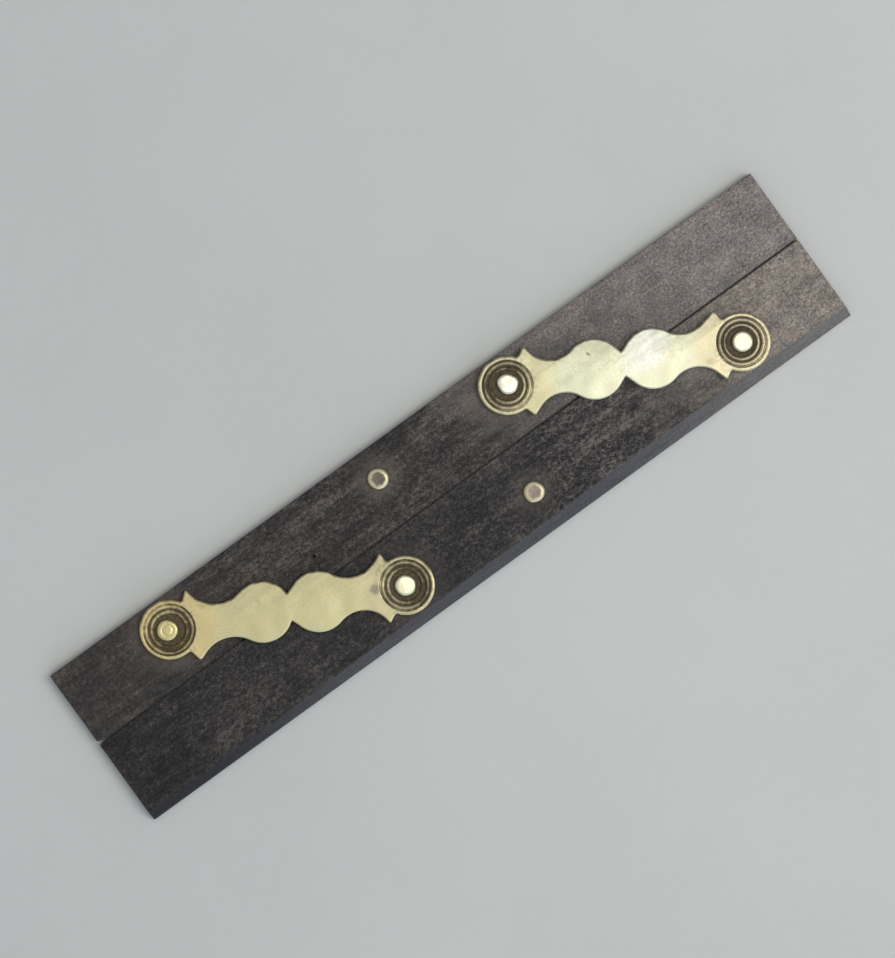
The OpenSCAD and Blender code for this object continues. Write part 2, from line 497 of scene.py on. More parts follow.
def soften(loop, times, keep=()):
    """Takes the sharpness off every corner but those in keep."""
    n = len(loop)
    held = [any((p - Vector(q)).length < 0.04 for q in keep) for p in loop]
    for _ in range(times):
        loop = [loop[i] if held[i] else (loop[i - 1] + loop[i] * 2 + loop[(i + 1) % n]) / 4 for i in range(n)]
    return loop


def inset_loop(loop, d):
    """Moves each point inwards by d, less where the outline turns more tightly than that. The loop runs counter-clockwise."""
    n = len(loop)
    norms, allow = [], []
    for i in range(n):
        a, p, b = loop[i - 1], loop[i], loop[(i + 1) % n]
        d1, d2 = (p - a).normalized(), (b - p).normalized()
        t = (d1 + d2).normalized()
        norms.append(Vector((t.y, -t.x)))
        turn = math.atan2(d1.x * d2.y - d1.y * d2.x, d1.dot(d2))
        step = ((p - a).length + (b - p).length) / 2
        allow.append(min(d, 0.75 * step / turn) if turn > 1e-5 else d)
    for _ in range(3):
        allow = [min(allow[i], (allow[i - 1] + allow[i] + allow[(i + 1) % n]) / 3 + 0.01) for i in range(n)]
    return [loop[i] - norms[i] * allow[i] for i in range(n)]


# The turned end from the rim inwards: radius, height above the arm's underside, and how much brown stays in it.
TURNED = [
    (4.80, 1.40, 0.02),
    (4.74, 1.40, 0.04),
    (4.65, 1.39, 0.10),
    (4.61, 1.34, 0.36),
    (4.56, 1.15, 0.90),
    (4.51, 1.08, 0.92),
    (4.37, 1.07, 0.90),
    (4.31, 1.10, 0.82),
    (4.26, 1.17, 0.64),
    (4.21, 1.22, 0.60),
    (4.13, 1.255, 0.50),
    (4.02, 1.265, 0.47),
    (3.91, 1.255, 0.52),
    (3.81, 1.22, 0.64),
    (3.74, 1.15, 0.80),
    (3.69, 1.02, 0.9),
    (3.64, 0.90, 1.0),
    (3.58, 0.86, 1.0),
    (3.42, 0.85, 1.0),
    (3.36, 0.88, 0.95),
    (3.31, 0.98, 0.92),
    (3.25, 1.04, 0.80),
    (3.16, 1.07, 0.74),
    (3.06, 1.075, 0.73),
    (2.97, 1.05, 0.78),
    (2.88, 0.99, 0.88),
    (2.80, 0.88, 0.94),
    (2.72, 0.76, 1.0),
    (2.62, 0.68, 1.0),
    (2.52, 0.645, 1.0),
    (2.42, 0.640, 1.0),
    (2.33, 0.630, 1.0),
    (2.22, 0.62, 1.0),
    (2.05, 0.60, 1.0),
    (1.6, 0.60, 1.0),
    (1.12, 0.60, 1.0),
    (1.06, 0.57, 1.0),
    (1.05, 0.50, 1.0),
    (1.05, 0.06, 1.0),
    (1.10, 0.0, 1.0),
]
# For each turned end: growth of the rings, share of the brown left, the side where the brown is thinned as painted
# highlight and thickened opposite as painted shade (angle from the arm's own line) with how much, and how far the
# grooves on that side lose their brown as a further painted highlight.
WORN_AND_LIT = {
    "upper_left": (1.025, 1.08, 2.3, 0.75, 0.0),
    "lower_left": (1.0, 1.06, 2.9, 0.45, 0.0),
    "upper_right": (0.99, 1.10, -0.7, 0.85, 0.0),
    "lower_right": (0.985, 0.97, -0.6, 0.55, 0.75),
}
SEGS = 128


def arm(name, up, down, mid, notch, bows, ends, seed):
    """ends: for the upper and lower pivot's end, the waist, ear tip, blunt and root of its +t side and of its -t side."""
    p0, p1 = Vector((PIVOT[up].x, PIVOT[up].y)), Vector((PIVOT[down].x, PIVOT[down].y))
    line = p1 - p0
    half = line.length / 2
    e = line.normalized()
    across = Vector((-e.y, e.x))
    middle = (p0 + p1) / 2
    (a_top, a_bot), (b_top, b_bot) = ends
    # counter-clockwise: right end top side backwards, left end top, left end bottom backwards, right end bottom
    right_top = [(s, t) for s, t in quarter(half, mid, notch, bows[1], *b_top)]
    left_top = [(-s, t) for s, t in quarter(half, -mid, notch, bows[0], *a_top)]
    left_bot = [(-s, -t) for s, t in quarter(half, -mid, notch, bows[0], *a_bot)]
    right_bot = [(s, -t) for s, t in quarter(half, mid, notch, bows[1], *b_bot)]
    loop = right_top[::-1] + left_top[1:] + left_bot[::-1][1:] + right_bot[1:-1]
    loop = resample(loop, 0.14)
    keep = [(s, t) for s, t in corners(mid, notch, None, *b_top)] + [(-s, t) for s, t in corners(-mid, notch, None, *a_top)]
    keep += [(-s, -t) for s, t in corners(-mid, notch, None, *a_bot)] + [(s, -t) for s, t in corners(mid, notch, None, *b_bot)]
    for q in keep:  # the nearest point moves onto each corner
        i = min(range(len(loop)), key=lambda j: (loop[j] - Vector(q)).length)
        loop[i] = Vector(q)
    loop = soften(loop, 2, keep)
    n = len(loop)
    # a filed edge is never quite true
    wob = [nz(p.x / 3.4, p.y / 3.4, seed) * 0.035 for p in loop]
    base = [p - (p - Vector((0, 0))).normalized() * w for p, w in zip(loop, wob)]
    side_t = []  # how far each point of the outline faces +t
    for i in range(n):
        d1 = (base[(i + 1) % n] - base[i - 1]).normalized()
        side_t.append(-d1.x)
    layers = [(0.06, 0.0), (0.0, 0.07)]
    r = 0.27
    layers.append((0.0, ARM_T - r))
    for k in range(1, 6):
        th = math.pi / 2 * k / 5
        layers.append((r * (1 - math.cos(th)), ARM_T - r + r * math.sin(th)))
    # dirt per vertex: brown patina in the turned hollows, the arm darker towards its underside, and painted shade along
    # the edges that face +t
    verts, faces, dirt = [], [], []

    def place(s, t, z):
        q = middle + e * s + across * t
        return (q.x, q.y, ARM_Z + z)

    rows = []
    for d, z in layers:
        lp = inset_loop(base, d) if d > 0 else base
        row = []
        for i, p in enumerate(lp):
            row.append(len(verts))
            verts.append(place(p.x, p.y, z))
            # painted shade: the rounded edges that face +t are darkened; below them the underside and the lower sides
            # are darker towards the bottom
            painted_edge_shade = 0.95 * smooth01(0.0, 0.6, side_t[i]) * (1 - smooth01(0.24, 0.40, d)) * (0.7 + 0.5 * nz(base[i].x * 0.8, 1.0, seed))
            dirt.append(0.75 if z < 0.2 else max(painted_edge_shade, 0.45 * (1 - z / ARM_T)))
        rows.append((row, lp))
    for (ra, _), (rb, _) in zip(rows, rows[1:]):
        for i in range(n):
            j = (i + 1) % n
            faces.append((ra[i], ra[j], rb[j], rb[i]))
    border = inset_loop(rows[-1][1], 0.07)
    row = []
    for i, p in enumerate(border):
        row.append(len(verts))
        verts.append(place(p.x, p.y, ARM_T))
        # painted shade: the border of the top is darkened too where the outline faces +t
        dirt.append(0.30 * smooth01(0.0, 0.6, side_t[i]) * (0.7 + 0.5 * nz(base[i].x * 0.8, 1.0, seed)))
    for i in range(n):
        j = (i + 1) % n
        faces.append((rows[-1][0][i], rows[-1][0][j], row[j], row[i]))
    top_loop, bottom_loop = (row, border), rows[0]
    rings = []
    for sgn, key in ((-1, up), (1, down)):
        grow, share, side, lit_gain, lit_opening = WORN_AND_LIT[key]
        grid = []
        for r_, z_, dd in TURNED:
            ring = []
            for i in range(SEGS):
                th = 2 * math.pi * i / SEGS
                rr = r_ * (1 + (grow - 1) * smooth01(1.4, 3.0, r_) * (1 - smooth01(4.4, 4.74, r_) * (grow > 1)))
                rr += (0.012 + 0.02 * (2.4 < r_ < 4.4)) * nz(math.cos(th) * 1.3, math.sin(th) * 1.3, seed + r_ * 0.35 + sgn)
                # painted highlight: brown thinned on the lit side, and painted shade: brown thickened opposite; the
                # noise added below is the patina's real unevenness
                clean_and_lit = max(0.0, math.cos(th - side)) ** 1.2 * lit_gain - 0.30 * max(0.0, -math.cos(th - side))
                clean_and_lit += 0.6 * nz(math.cos(th) * 1.9, math.sin(th) * 1.9, seed + sgn + r_ * 0.45)
                clean_and_lit += 0.3 * nz(math.cos(th) * 6.0, math.sin(th) * 6.0, seed + sgn + r_ * 0.8)
                # painted highlight: on the lit side of this end the grooves lose their brown
                lit_opened = lit_opening * (1 - smooth01(0.75, 0.97, dd)) * max(0.0, 0.8 + 0.3 * math.cos(th - side - 0.4))
                ring.append(len(verts))
                verts.append(place(sgn * half + rr * math.cos(th), rr * math.sin(th), z_))
                dd_ = dd * (1 - lit_opened)
                dirt.append(min(1.0, dd_ * share * (1 - clean_and_lit)) if dd_ < 0.97 else dd_)
            grid.append(ring)
        for ra, rb in zip(grid, grid[1:]):
            for i in range(SEGS):
                j = (i + 1) % SEGS
                faces.append((ra[i], ra[j], rb[j], rb[i]))
        rings.append(grid)

    def fill(outer, holes, flip):
        lists = [outer] + holes
        flat = [i for lst in lists for i in lst]
        polys = [[Vector((verts[i][0], verts[i][1], 0)) for i in lst] for lst in lists]
        for tri in tessellate_polygon(polys):
            t3 = tuple(flat[k] for k in tri)
            faces.append(t3[::-1] if flip else t3)

    fill(top_loop[0], [g[0] for g in rings], False)
    fill(bottom_loop[0], [g[-1] for g in rings], True)
    ob = make(name, verts, faces)
    at = ob.data.attributes.new("dirt", "FLOAT", "POINT")
    at.data.foreach_set("value", dirt)
    fix_normals(ob)
    weighted(ob)
    return ob


left = arm(
    "left_arm_brass",
    "upper_left",
    "lower_left",
    0.32,
    2.45,
    ((4.8, 6.0), (5.2, 5.8)),
    (
        ((2.95, (16.95, 6.25), 0.3, (17.95, 4.75)), (3.3, (16.4, 6.15), 0.45, (18.0, 4.6))),
        ((3.2, (17.35, 6.3), 0.45, (18.5, 4.85)), (2.95, (17.1, 5.95), 0.4, (18.4, 4.75))),
    ),
    3.0,
)
right = arm(
    "right_arm_brass",
    "upper_right",
    "lower_right",
    -0.25,
    2.22,
    ((5.2, 5.1), (5.35, 5.4)),
    (
        ((3.0, (16.85, 6.1), 0.55, (18.25, 4.95)), (3.05, (17.0, 5.95), 0.45, (18.45, 4.8))),
        ((3.35, (16.95, 6.15), 0.55, (18.2, 4.9)), (2.9, (17.2, 5.95), 0.4, (18.35, 4.75))),
    ),
    11.0,
)

# ---------------------------------------------------------------- rivets, washers, studs
SEAT = ARM_Z + 0.60 + 0.08
HEAD_TOP = top("rivet_upper_left")


def rivet(key, shift, tilt, harm, seed, mark=0.0):
    """Peened head sitting off the shank's axis by shift, its crown tipped by tilt (slopes along X and Y)."""
    at = PIVOT[key]
    crown_z = HEAD_TOP - 0.05
    prof = []
    for k in range(14):
        r = 1.52 * k / 13
        prof.append((r, crown_z - 0.022 * (r / 1.52) ** 2.4))
    if mark:
        prof = [(r, z - 0.045 * math.exp(-(((r - mark) / 0.12) ** 2))) for r, z in prof]
    z_rim = prof[-1][1]
    for k in range(1, 8):
        th = math.radians(22 + 68 * k / 7)
        c0, c1 = math.sin(math.radians(22)), math.cos(math.radians(22))
        prof.append((1.52 + 0.33 * (math.sin(th) - c0) / (1 - c0), z_rim - 0.30 * (c1 - math.cos(th)) / c1))
    prof += [(1.85, SEAT + 0.12), (1.82, SEAT + 0.03), (1.74, SEAT)]
    prof += [(1.06, SEAT), (SHANK_R, SEAT - 0.03), (SHANK_R, 0.34), (SHANK_R + 0.27, 0.03), (SHANK_R + 0.24, 0.0), (0.55, 0.0), (0, 0.0)]
    low_z = SEAT - 0.01

    def wobble(r, z, t):
        if z < low_z or r <= 1.07 and z <= SEAT:
            return r, z
        k = 1 + sum(a * math.cos(m * t + ph) for m, a, ph in harm)
        dz = 0.012 * nz(r * math.cos(t) * 1.1, r * math.sin(t) * 1.1, seed)
        tip = r * (math.cos(t) * tilt[0] + math.sin(t) * tilt[1]) * smooth01(SEAT + 0.1, SEAT + 0.5, z)
        return r * (k if r > 0.6 else 1 + (k - 1) * r / 0.6), min(HEAD_TOP, z + tip + (dz if z > SEAT + 0.2 else 0))

    n = 96
    verts, faces = lathe(prof, n, at, wobble)
    out, crown = [], (at.x + shift[0], at.y + shift[1])
    for x, y, z in verts:
        if z >= low_z and math.hypot(x - at.x, y - at.y) > 1.2 or z > SEAT + 0.05:
            out.append((x + shift[0], y + shift[1], z))
        else:
            out.append((x, y, z))
    ob = make("rivet_" + key + "_brass", out, faces)
    fix_normals(ob)
    # darker towards the foot of the head, and outwards across the seat
    attribute(
        ob,
        "dirt",
        lambda p: 0.12 + 0.8 * (1 - smooth01(SEAT + 0.15, SEAT + 0.55, p.z))
        if p.z > SEAT + 0.02
        else 0.8 * smooth01(0.9, 1.3, math.hypot(p.x - at.x, p.y - at.y)),
    )
    ob.modifiers.new("weighted", "WEIGHTED_NORMAL").mode = "FACE_AREA"
    return ob


RIVETS = {
    "upper_left": rivet("upper_left", (-0.34, 0.10), (-0.015, 0.01), [(2, 0.012, 0.5), (3, 0.012, 1.9), (4, 0.012, 0.6)], 2.0, mark=0.95),
    "upper_right": rivet("upper_right", (0.22, 0.20), (-0.045, 0.03), [(2, 0.035, 2.0), (3, 0.034, 0.4), (5, 0.020, 1.0)], 5.5),
    "lower_left": rivet("lower_left", (-0.02, -0.02), (-0.045, 0.03), [(2, 0.010, 1.2), (5, 0.012, 0.3)], 8.1),
    "lower_right": rivet("lower_right", (0.18, -0.05), (-0.045, 0.03), [(2, 0.012, 0.2), (3, 0.010, 2.7)], 13.7),
}


def washer(key):
    at = PIVOT[key]
    prof = [
        (WASHER_R - 0.06, 0.0),
        (WASHER_R - 0.01, 0.04),
        (WASHER_R, 0.10),
        (WASHER_R, WASHER_T),
        (SHANK_R + 0.01, WASHER_T),
        (SHANK_R + 0.01, 0.34),
        (SHANK_R + 0.29, 0.04),
        (SHANK_R + 0.32, 0.0),
    ]
    n = 96
    verts, faces = [], []
    for r, z in prof:
        for i in range(n):
            t = 2 * math.pi * i / n
            verts.append((at.x + r * math.cos(t), at.y + r * math.sin(t), z))
    m = len(prof)
    for k in range(m):
        for i in range(n):
            j, k2 = (i + 1) % n, (k + 1) % m
            faces.append((k * n + i, k * n + j, k2 * n + j, k2 * n + i))
    ob = make("washer_" + key + "_brass", verts, faces)
    fix_normals(ob)
    weighted(ob)
    # darker at the outer rim and at the bore
    attribute(ob, "dirt", lambda p: max(smooth01(2.2, 2.4, math.hypot(p.x - at.x, p.y - at.y)), 1 - smooth01(1.3, 1.5, math.hypot(p.x - at.x, p.y - at.y))))
    return ob


WASHERS = {k: washer(k) for k in PIVOT}


def stud(key, harm, seed):
    at = STUD[key]
    h = top("stud_" + key)
    prof = [(0, h - 0.02), (0.45, h - 0.018), (0.85, h - 0.012), (1.15, h - 0.002)]
    for k in range(9):
        th = math.radians(90 * k / 8)
        prof.append((1.25 + 0.70 * math.sin(th), h - 0.58 * (1 - math.cos(th))))
    prof += [(1.95, LIMB_T + 0.07), (1.90, LIMB_T + 0.0), (0.95, LIMB_T + 0.0), (0.9, LIMB_T - 0.05), (0.9, LIMB_T - STEM + 0.05), (0.8, LIMB_T - STEM), (0, LIMB_T - STEM)]

    def wobble(r, z, t):
        if z < LIMB_T + 0.01:
            return r, z
        k = 1 + sum(a * math.cos(m * t + ph) for m, a, ph in harm)
        return r * k, min(h, z + 0.012 * nz(r * math.cos(t), r * math.sin(t), seed))

    verts, faces = lathe(prof, 96, at, wobble)
    ob = make("stud_" + key + "_brass", verts, faces)
    fix_normals(ob)
    weighted(ob)
    # darker towards the foot where the stud meets the wood
    attribute(ob, "dirt", lambda p: 0.8 * (1 - smooth01(LIMB_T + 0.02, LIMB_T + 0.22, p.z)))
    # 1 on the flat top, which takes a darker tint, 0 on the shoulder
    attribute(ob, "flat", lambda p: 1 - smooth01(1.08, 1.40, math.hypot(p.x - at.x, p.y - at.y) + 0.16 * nz(p.x * 1.5, p.y * 1.5, seed)))
    return ob


STUDS = {
    "upper": stud("upper", [(2, 0.014, 0.9), (3, 0.012, 0.2)], 21.0),
    "lower": stud("lower", [(2, 0.024, 0.3), (3, 0.014, 1.5), (5, 0.010, 0.4)], 27.0),
}


# ---------------------------------------------------------------- materials
class Nodes:
    """Short names for building one node tree."""

    def __init__(self, name):
        self.mat = bpy.data.materials.new(name)
        self.mat.use_nodes = True
        self.t = self.mat.node_tree
        self.p = self.t.nodes["Principled BSDF"]

    def n(self, kind, **sets):
        node = self.t.nodes.new(kind)
        for k, v in sets.items():
            setattr(node, k, v)
        return node

    def link(self, a, b):
        self.t.links.new(a, b)

    def put(self, value, socket):
        if hasattr(value, "is_output"):
            self.link(value, socket)
        else:
            socket.default_value = value

    def coords(self):
        return self.n("ShaderNodeTexCoord").outputs["Object"]

    def mm(self, scale=(1, 1, 1), turn=0.0, shift=(0, 0, 0), source=None):
        m = self.n("ShaderNodeMapping", vector_type="POINT")
        m.inputs["Scale"].default_value = [1000 * s for s in scale]
        m.inputs["Rotation"].default_value = (0, 0, turn)
        m.inputs["Location"].default_value = shift
        self.link(source if source is not None else self.coords(), m.inputs["Vector"])
        return m.outputs["Vector"]

    def noise(self, vector, scale=1.0, detail=2.0, rough=0.5, distortion=0.0):
        x = self.n("ShaderNodeTexNoise")
        self.link(vector, x.inputs["Vector"])
        x.inputs["Scale"].default_value = scale
        x.inputs["Detail"].default_value = detail
        x.inputs["Roughness"].default_value = rough
        x.inputs["Distortion"].default_value = distortion
        return x.outputs["Fac"]

    def math(self, op, a, b=0.0, clamp=False):
        x = self.n("ShaderNodeMath", operation=op, use_clamp=clamp)
        self.put(a, x.inputs[0])
        self.put(b, x.inputs[1])
        return x.outputs[0]

    def ramp(self, value, lo, hi, out_lo=0.0, out_hi=1.0, smooth=True):
        x = self.n("ShaderNodeMapRange", interpolation_type="SMOOTHSTEP" if smooth else "LINEAR", clamp=True)
        self.put(value, x.inputs["Value"])
        x.inputs["From Min"].default_value = lo
        x.inputs["From Max"].default_value = hi
        x.inputs["To Min"].default_value = out_lo
        x.inputs["To Max"].default_value = out_hi
        return x.outputs["Result"]

    def mix(self, fac, a, b, kind="MIX"):
        x = self.n("ShaderNodeMix", data_type="RGBA", blend_type=kind)
        self.put(fac, x.inputs[0])
        for v, s in ((a, x.inputs[6]), (b, x.inputs[7])):
            if hasattr(v, "is_output"):
                self.link(v, s)
            else:
                s.default_value = (*v, 1.0)
        return x.outputs[2]

    def scale(self, colour, value):
        x = self.n("ShaderNodeVectorMath", operation="SCALE")
        self.link(colour, x.inputs[0])
        self.put(value, x.inputs["Scale"])
        return x.outputs[0]

    def split(self, vector):
        x = self.n("ShaderNodeSeparateXYZ")
        self.link(vector, x.inputs[0])
        return x.outputs

    def dist(self, vector, point):
        """Distance in the XY plane, in millimetres, from point."""
        x, y, _ = self.split(vector)
        dx = self.math("SUBTRACT", x, point[0])
        dy = self.math("SUBTRACT", y, point[1])
        return self.math("SQRT", self.math("ADD", self.math("MULTIPLY", dx, dx), self.math("MULTIPLY", dy, dy)))

    def attr(self, name):
        return self.n("ShaderNodeAttribute", attribute_type="GEOMETRY", attribute_name=name).outputs["Fac"]

    def bump(self, height, strength, distance, under=None):
        x = self.n("ShaderNodeBump")
        x.inputs["Strength"].default_value = strength
        x.inputs["Distance"].default_value = distance
        self.link(height, x.inputs["Height"])
        if under is not None:
            self.link(under, x.inputs["Normal"])
        return x.outputs["Normal"]


def steps(k, where, pairs):
    """A value that goes through each (x, value) pair in turn."""
    gain = None
    for (x0, g0), (x1, g1) in zip(pairs, pairs[1:]):
        step = k.ramp(where, x0, x1, 0.0, g1 - g0)
        gain = k.math("ADD", g0, step) if gain is None else k.math("ADD", gain, step)
    return gain


def ebony(name, seed, halos, fade_from, fade_to, streaky, contrast, patchy, depth, life, halo_gain, pale_gain, marks=(), sloped=False):
    """depth: how light the dark, oily wood is along X, as (x, gain) pairs; its rise towards the right is partly painted
    sheen. life: the same for the strength of its figure.
    pale_gain: the same as depth for the pale, dried end's two ends, lighter towards the right partly as painted sheen.
    halo_gain: how much lighter the polish round the brass is."""
    k = Nodes(name)
    flat = k.mm()
    x, y, z = k.split(flat)
    # the grain wanders a little
    wander = k.noise(k.mm((1 / 26, 1 / 11, 1 / 11), shift=(seed, 0, 0)), detail=1.0)
    comb = k.n("ShaderNodeCombineXYZ")
    k.put(x, comb.inputs[0])
    k.put(k.math("ADD", y, k.math("MULTIPLY", wander, 2.4)), comb.inputs[1])
    k.put(z, comb.inputs[2])
    along = comb.outputs[0]

    def layer(scale, shift, detail, rough, distortion=0.0):
        m = k.n("ShaderNodeMapping", vector_type="POINT")
        m.inputs["Scale"].default_value = scale
        m.inputs["Location"].default_value = shift
        k.link(along, m.inputs["Vector"])
        return k.noise(m.outputs["Vector"], 1.0, detail, rough, distortion)

    fleck = layer((1.25, 1.6, 1.6), (seed, seed * 2, 3), 3.0, 0.64, 0.5)
    blotch = layer((0.33, 0.55, 0.55), (seed * 3, 2, seed), 3.0, 0.55, 0.3)
    streak = layer((0.16, 2.3, 2.3), (seed, seed * 4, 8), 3.0, 0.6)
    band = layer((0.03, 0.55, 0.55), (seed, seed, 1), 2.0, 0.5)
    cloud = layer((0.075, 0.12, 0.12), (seed * 5, 3, 0), 3.0, 0.6, 0.4)
    pore = k.ramp(layer((1.0, 5.0, 5.0), (seed * 3, seed, 4), 2.0, 0.55), 0.60, 0.70)
    grit = layer((3.4, 4.2, 4.2), (2, seed, 6), 2.0, 0.6)

    # smooth polish left round the brass
    calm = None
    for (px, py), r0, r1 in halos:
        h = k.ramp(k.math("ADD", k.dist(flat, (px, py)), k.math("MULTIPLY", k.math("SUBTRACT", blotch, 0.5), 5.0)), r0, r1, 1.0, 0.0)
        calm = h if calm is None else k.math("MAXIMUM", calm, h)

    # dry, rubbed wood towards one end; its paler colour there is partly painted sheen
    where = k.math("ADD", x, k.math("MULTIPLY", k.math("SUBTRACT", cloud, 0.5), 34.0))
    where = k.math("ADD", where, k.math("MULTIPLY", k.math("SUBTRACT", blotch, 0.5), patchy))
    where = k.math("ADD", where, k.math("MULTIPLY", y, 0.0 if sloped else 0.6))
    dry_and_sheen = k.ramp(where, fade_from, fade_to)

    tone = k.math("MULTIPLY", k.math("SUBTRACT", fleck, 0.5), contrast)
    tone = k.math("ADD", tone, k.math("MULTIPLY", k.math("SUBTRACT", blotch, 0.5), 0.75))
    tone = k.math("ADD", tone, k.math("MULTIPLY", k.math("SUBTRACT", streak, 0.5), streaky))
    tone = k.math("ADD", tone, k.math("MULTIPLY", k.math("SUBTRACT", band, 0.5), 0.8))
    tone = k.math("ADD", tone, k.math("MULTIPLY", k.math("SUBTRACT", grit, 0.5), 1.5))
    tone = k.math("MULTIPLY", tone, k.math("SUBTRACT", 1.0, k.math("MULTIPLY", calm, 0.66)))
    tone = k.math("MULTIPLY", tone, steps(k, where, life))
    tone = k.math("ADD", tone, k.math("MULTIPLY", k.math("SUBTRACT", cloud, 0.5), 0.6))
    tone = k.math("ADD", tone, k.math("MULTIPLY", calm, halo_gain))
    oily = k.n("ShaderNodeValToRGB")
    e = oily.color_ramp.elements
    e[0].position, e[0].color = 0.0, (0.0100, 0.0097, 0.0102, 1)
    e[1].position, e[1].color = 1.0, (0.150, 0.122, 0.100, 1)
    for pos, c in ((0.25, (0.0200, 0.0184, 0.0180, 1)), (0.5, (0.0400, 0.0350, 0.0320, 1)), (0.75, (0.0790, 0.0665, 0.0570, 1))):
        el = oily.color_ramp.elements.new(pos)
        el.color = c
    k.link(k.math("ADD", tone, 0.5, clamp=True), oily.inputs["Fac"])
    body = oily.outputs["Color"]
    # lighter towards the right: partly the wood's own tone, partly painted sheen
    body = k.scale(body, steps(k, where, depth))

    # the dry end is pebbled, with no run to its grain but the open pores
    pebble = k.noise(k.mm((2.1, 2.2, 2.2), shift=(seed, 4, seed)), detail=3.0, rough=0.66, distortion=0.4)
    broad = k.noise(k.mm((0.22, 0.3, 0.3), shift=(7, seed, 0)), detail=2.0)
    dry_tone = k.math("MULTIPLY", k.math("SUBTRACT", pebble, 0.5), 2.3)
    dry_tone = k.math("ADD", dry_tone, k.math("MULTIPLY", k.math("SUBTRACT", broad, 0.5), 1.0))
    dry_tone = k.math("ADD", dry_tone, k.math("MULTIPLY", k.math("SUBTRACT", streak, 0.5), 0.6))
    dry_tone = k.math("ADD", dry_tone, k.math("MULTIPLY", k.math("SUBTRACT", grit, 0.5), 1.2))
    pale = k.n("ShaderNodeValToRGB")
    e = pale.color_ramp.elements
    e[0].position, e[0].color = 0.0, (0.128, 0.117, 0.110, 1)
    e[1].position, e[1].color = 1.0, (0.420, 0.362, 0.318, 1)
    el = pale.color_ramp.elements.new(0.5)
    el.color = (0.235, 0.207, 0.188, 1)
    k.link(k.math("ADD", dry_tone, 0.5, clamp=True), pale.inputs["Fac"])
    # painted sheen: the pale end lighter still towards the right
    paler = k.scale(pale.outputs["Color"], k.ramp(x, 36.0, 74.0, pale_gain[0], pale_gain[1]))
    if sloped:  # this limb is the colder of the two where it is oily, and the warmer where it is dry
        body = k.mix(1.0, body, (0.965, 1.0, 1.06), "MULTIPLY")
        paler = k.mix(1.0, paler, (1.01, 0.995, 0.94), "MULTIPLY")
    body = k.mix(dry_and_sheen, body, paler)
    # warm and cool patches
    hue = k.noise(k.mm((0.35, 0.5, 0.5), shift=(seed, seed, 5)), detail=3.0, rough=0.6)
    tint = k.mix(k.ramp(hue, 0.36, 0.64), (0.93, 1.0, 1.08), (1.07, 0.99, 0.90))
    body = k.mix(0.22, body, k.mix(1.0, body, tint, "MULTIPLY"))
    # open pores show where the wood is dry
    ends = k.ramp(k.math("ADD", x, k.math("MULTIPLY", cloud, 14.0)), 58.0, 72.0)
    pits = k.math("MULTIPLY", pore, k.math("ADD", 0.25, k.math("MULTIPLY", ends, 0.62)))
    pits = k.math("MULTIPLY", pits, k.math("SUBTRACT", 1.0, k.math("MULTIPLY", calm, 0.8)))
    body = k.mix(pits, body, (0.014, 0.012, 0.012))
    # painted shade: the wood is darkened along the seam between the two limbs
    meeting = k.ramp(k.math("ABSOLUTE", k.math("SUBTRACT", y, SEAM_Y)), 0.17, 0.28, 0.75, 0.0)
    body = k.mix(meeting, body, (0.006, 0.005, 0.005))
    for (px, py), rx, ry, turn, strength, colour in marks:
        dx, dy = k.math("SUBTRACT", x, px), k.math("SUBTRACT", y, py)
        u = k.math("ADD", k.math("MULTIPLY", dx, math.cos(turn) / rx), k.math("MULTIPLY", dy, math.sin(turn) / rx))
        v = k.math("ADD", k.math("MULTIPLY", dx, -math.sin(turn) / ry), k.math("MULTIPLY", dy, math.cos(turn) / ry))
        far = k.math("SQRT", k.math("ADD", k.math("MULTIPLY", u, u), k.math("MULTIPLY", v, v)))
        far = k.math("ADD", far, k.math("MULTIPLY", k.math("SUBTRACT", pebble, 0.5), 1.6))
        body = k.mix(k.math("MULTIPLY", k.ramp(far, 0.3, 1.0, 1.0, 0.0), strength), body, colour)
    if sloped:
        # the ruling edge is planed finer; its cool bluish tint and its lightening towards the right are painted sheen
        slope = k.attr("bevel")
        fine_tone = k.ramp(k.math("ADD", k.math("MULTIPLY", streak, 0.35), k.math("MULTIPLY", grit, 0.65)), 0.36, 0.64)
        planed_and_sheen = k.mix(k.ramp(x, -66.0, -24.0), (0.012, 0.011, 0.013), (0.070, 0.071, 0.077))
        planed_and_sheen = k.mix(k.ramp(x, 18.0, 72.0), planed_and_sheen, (0.181, 0.1745, 0.1635))
        planed_and_sheen = k.scale(planed_and_sheen, k.math("ADD", 0.72, k.math("MULTIPLY", fine_tone, 0.5)))
        body = k.mix(k.math("MULTIPLY", slope, 0.95), body, planed_and_sheen)
    edge = k.math("MULTIPLY", k.attr("edge"), k.ramp(fleck, 0.35, 0.65, 0.2, 0.9))
    body = k.mix(k.math("MULTIPLY", edge, 0.16), body, (0.12, 0.105, 0.093))
    k.link(body, k.p.inputs["Base Color"])

